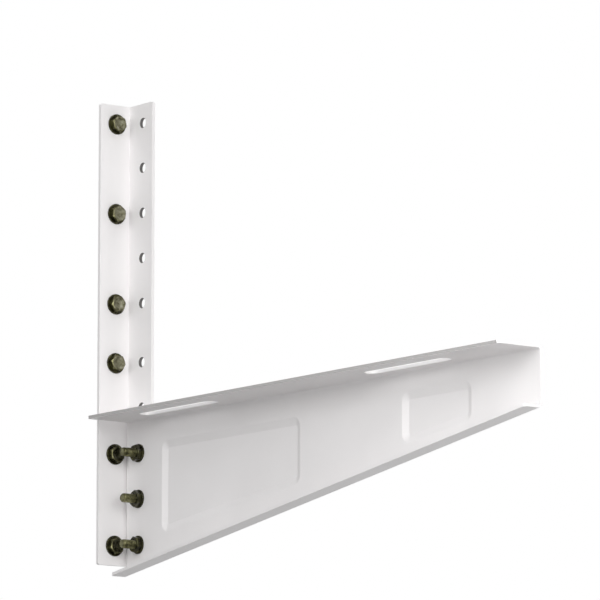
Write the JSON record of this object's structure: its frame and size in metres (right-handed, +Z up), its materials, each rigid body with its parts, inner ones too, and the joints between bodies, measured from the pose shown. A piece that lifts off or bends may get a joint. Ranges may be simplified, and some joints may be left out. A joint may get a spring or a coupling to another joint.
{
  "type": "air conditioner outdoor unit bracket",
  "caption": "Wall bracket for an air conditioner's outdoor unit: a drilled upright angle bolted to the wall, carrying a tapered channel arm with slots for the unit's feet.",
  "frame": {"origin": "on the wall plane behind the upright, on the line of its wall bolts, at the height of the arm's top surface, where the unit's feet stand", "axes": "+X to the right along the wall as seen from in front of it, +Y into the wall, +Z up; the arm runs out along -Y"},
  "size_m": [0.0536, 0.5804, 0.4155],
  "materials": {
    "coated_sheet": "satin white powder coat on bent steel sheet",
    "fastener": "dark olive chromate over zinc"
  },
  "bodies": {
    "root": {"upright": "coated_sheet", "arm": "coated_sheet", "wall_bolt_1": "fastener", "wall_bolt_2": "fastener", "wall_bolt_3": "fastener", "wall_bolt_4": "fastener", "wall_bolt_5": "fastener", "wall_bolt_6": "fastener", "wall_washer_1": "fastener", "wall_washer_2": "fastener", "wall_washer_3": "fastener", "wall_washer_4": "fastener", "wall_washer_5": "fastener", "wall_washer_6": "fastener", "arm_bolt_1": "fastener", "arm_bolt_2": "fastener", "arm_bolt_3": "fastener", "arm_head_washer_1": "fastener", "arm_head_washer_2": "fastener", "arm_head_washer_3": "fastener", "arm_nut_washer_1": "fastener", "arm_nut_washer_2": "fastener", "arm_nut_washer_3": "fastener", "arm_nut_1": "fastener", "arm_nut_2": "fastener", "arm_nut_3": "fastener"}
  },
  "joints": []
}
